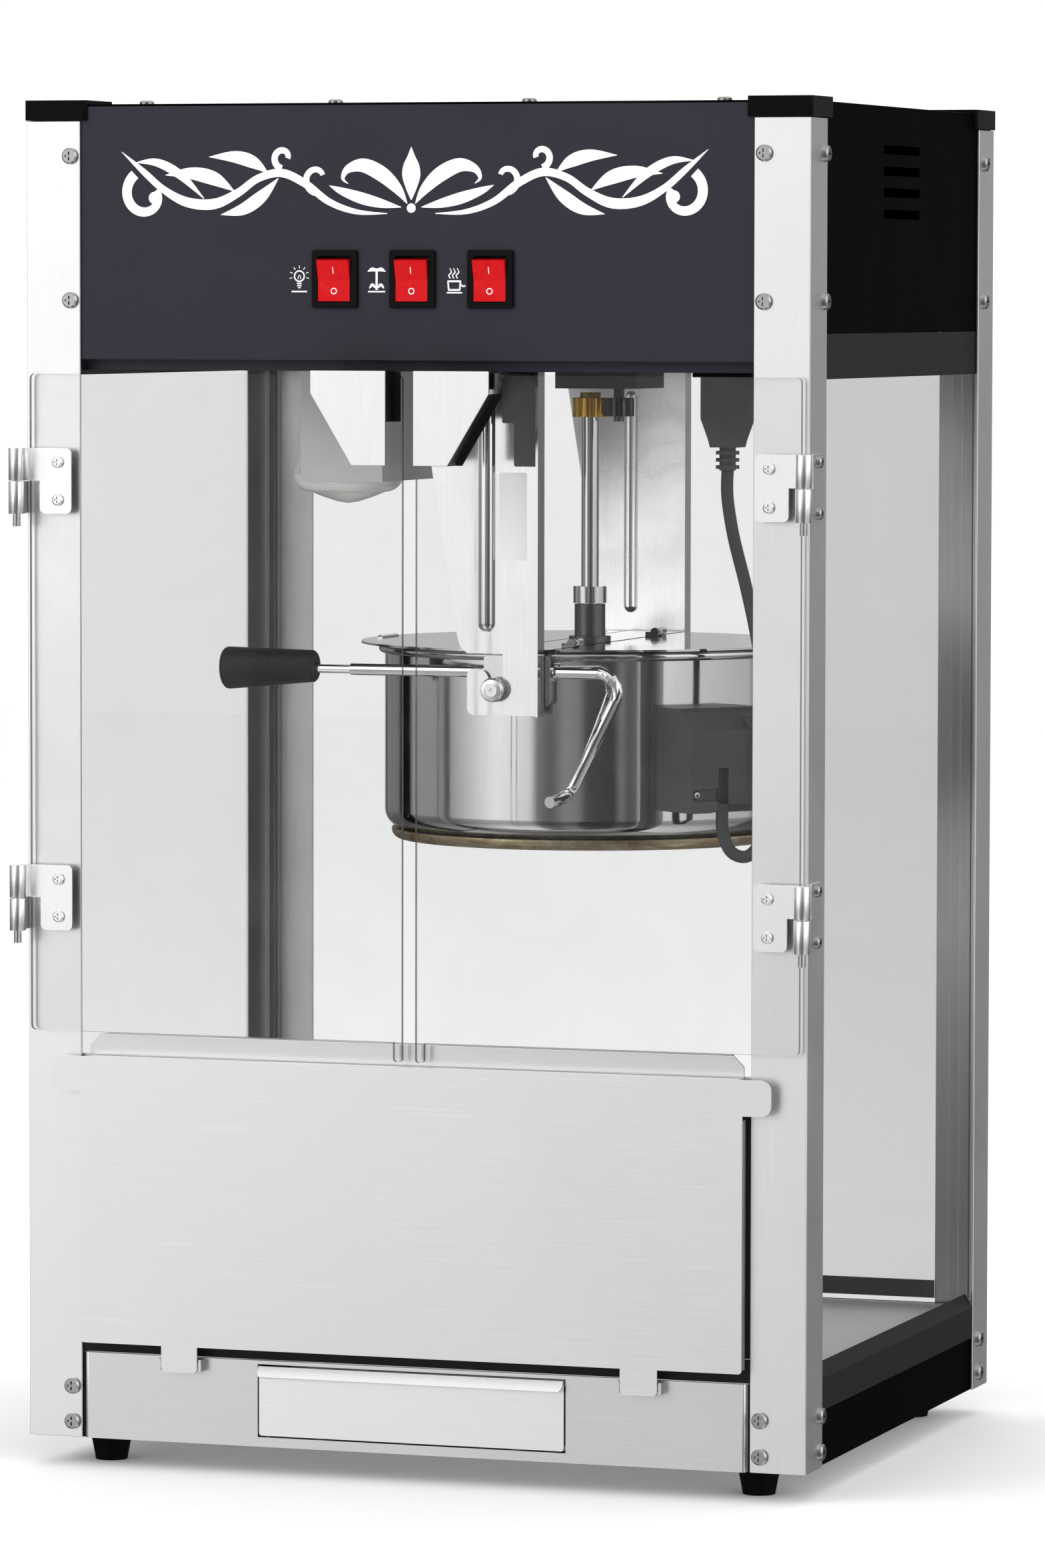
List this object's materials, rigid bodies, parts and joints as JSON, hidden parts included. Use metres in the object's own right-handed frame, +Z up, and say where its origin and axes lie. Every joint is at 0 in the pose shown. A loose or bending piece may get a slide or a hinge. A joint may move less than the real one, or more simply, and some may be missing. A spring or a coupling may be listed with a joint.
{
  "type": "popcorn maker",
  "caption": "Countertop popcorn maker: glazed cabinet on steel corner posts with swinging doors, a hanging tilting kettle with driven stirrer, rocker switches and crumb drawer.",
  "frame": {"origin": "on the worktop, below the middle of the machine's outline", "axes": "+Z up, the doors and switches face -Y, +X to the right as seen from the front"},
  "size_m": [0.4676, 0.405, 0.767],
  "materials": {
    "post_steel": "satin stainless sheet",
    "black_plastic": "moulded, fine grain",
    "header_paint": "satin blue-black powder coat",
    "black_paint": "satin black powder coat",
    "grey_paint": "satin dark grey paint",
    "inner_steel": "mill-finished sheet",
    "brushed": "brushed stainless sheet",
    "glass": "clear toughened pane",
    "acrylic": "clear acrylic sheet",
    "handle_steel": "satin sheet",
    "hinge_steel": "satin",
    "screw_steel": "plated",
    "foot_rubber": "matte",
    "switch_plastic": "glossy black",
    "rocker_red": "translucent red",
    "shield_steel": "light grey paint",
    "porcelain": "glazed",
    "bulb_glass": "frosted, white inside",
    "dark_grey": "satin dark grey",
    "gear_steel": "sintered steel",
    "polished": "polished stainless",
    "brass": "machined",
    "hanger_steel": "bright satin sheet",
    "heat_base": "heat-tinted steel",
    "lug_steel": "bright satin sheet",
    "knob_metal": "knurled, turned face",
    "sleeve_grey": "dark grey cast sleeve",
    "chrome": "bright chrome",
    "grip_black": "phenolic, satin",
    "lead_rubber": "matte",
    "plug_grey": "moulded"
  },
  "bodies": {
    "cabinet": {"post_front_left": "post_steel", "post_front_right": "post_steel", "post_rear_left": "post_steel", "post_rear_right": "post_steel", "corner_caps": "black_plastic", "header_front": "header_paint", "header_shell": "black_paint", "top_cover": "black_paint", "ceiling_plate": "inner_steel", "glass_rails": "grey_paint", "base_front": "brushed", "base_skirt": "black_paint", "base_floor": "inner_steel", "deck": "inner_steel", "glass_left": "glass", "glass_right": "glass", "glass_rear": "glass", "bin_rail": "brushed", "hinge_brackets": "hinge_steel", "cabinet_screws": "screw_steel", "feet": "foot_rubber", "switch_bezels": "switch_plastic", "lamp_shield": "shield_steel", "lamp_socket": "porcelain", "lamp_bulb": "bulb_glass", "gear_motor": "dark_grey", "hanger_front": "hanger_steel", "hanger_rear": "hanger_steel", "hanger_stop": "dark_grey", "kettle_lead": "lead_rubber", "kettle_plug": "plug_grey", "ceiling_socket": "black_plastic", "mains_inlet": "black_plastic"},
    "door_left_body": {"door_left": "acrylic", "door_handle_left": "handle_steel", "hinge_leaves_left": "hinge_steel"},
    "door_right_body": {"door_right": "acrylic", "door_handle_right": "handle_steel", "hinge_leaves_right": "hinge_steel"},
    "flap_body": {"front_flap": "brushed"},
    "drawer_body": {"crumb_drawer": "brushed"},
    "kettle": {"kettle_pot": "polished", "kettle_base": "heat_base", "kettle_lugs": "lug_steel", "pivot_knobs": "knob_metal", "lid_bar": "polished", "lid_sleeve": "sleeve_grey", "handle_rod": "chrome", "handle_grip": "grip_black", "heater_cover": "dark_grey"},
    "lid_left_body": {"lid_flap_left": "polished"},
    "lid_right_body": {"lid_flap_right": "polished"},
    "stirrer": {"stirrer_shaft": "polished", "stirrer_gear": "brass", "stirrer_blades": "polished"},
    "pinion": {"motor_pinion": "gear_steel"},
    "rocker_lamp_body": {"rocker_lamp": "rocker_red"},
    "rocker_stir_body": {"rocker_stir": "rocker_red"},
    "rocker_heat_body": {"rocker_heat": "rocker_red"}
  },
  "joints": [
    {"name": "door_left_hinge", "type": "hinge", "parent": "cabinet", "child": "door_left_body", "pos_m": [-0.2293, -0.1955, 0.4315], "axis": [0, 0, -1], "range_deg": [0, 170]},
    {"name": "door_right_hinge", "type": "hinge", "parent": "cabinet", "child": "door_right_body", "pos_m": [0.2293, -0.1955, 0.4315], "axis": [0, 0, 1], "range_deg": [0, 170]},
    {"name": "flap_tilt", "type": "hinge", "parent": "cabinet", "child": "flap_body", "pos_m": [0, -0.1865, 0.0615], "axis": [1, 0, 0], "range_deg": [0, 60]},
    {"name": "drawer_slide", "type": "slide", "parent": "cabinet", "child": "drawer_body", "axis": [0, -1, 0], "range_m": [0, 0.2]},
    {"name": "kettle_tilt", "type": "hinge", "parent": "cabinet", "child": "kettle", "pos_m": [0.029, 0.0085, 0.4395], "axis": [0, -1, 0], "range_deg": [0, 95], "deforming": ["kettle_lead"]},
    {"name": "lid_left_hinge", "type": "hinge", "parent": "kettle", "child": "lid_left_body", "pos_m": [0.022, 0.0085, 0.4641], "axis": [0, 1, 0], "range_deg": [0, 35]},
    {"name": "lid_right_hinge", "type": "hinge", "parent": "kettle", "child": "lid_right_body", "pos_m": [0.06, 0.0085, 0.4641], "axis": [0, -1, 0], "range_deg": [0, 60]},
    {"name": "stirrer_spin", "type": "hinge", "parent": "kettle", "child": "stirrer", "pos_m": [0.041, 0.0085, 0.4165], "axis": [0, 0, 1], "continuous": true},
    {"name": "pinion_spin", "type": "hinge", "parent": "cabinet", "child": "pinion", "pos_m": [0.0582, 0.0085, 0.5945], "axis": [0, 0, 1], "continuous": true},
    {"name": "switch_lamp", "type": "hinge", "parent": "cabinet", "child": "rocker_lamp_body", "pos_m": [-0.0454, -0.1775, 0.6677], "axis": [-1, 0, 0], "range_deg": [0, 16]},
    {"name": "switch_stir", "type": "hinge", "parent": "cabinet", "child": "rocker_stir_body", "pos_m": [0, -0.1775, 0.6677], "axis": [-1, 0, 0], "range_deg": [0, 16]},
    {"name": "switch_heat", "type": "hinge", "parent": "cabinet", "child": "rocker_heat_body", "pos_m": [0.0454, -0.1775, 0.6677], "axis": [-1, 0, 0], "range_deg": [0, 16]}
  ],
  "couplings": [
    {"joint": "pinion_spin", "follows": "stirrer_spin", "ratio": -1.2}
  ]
}
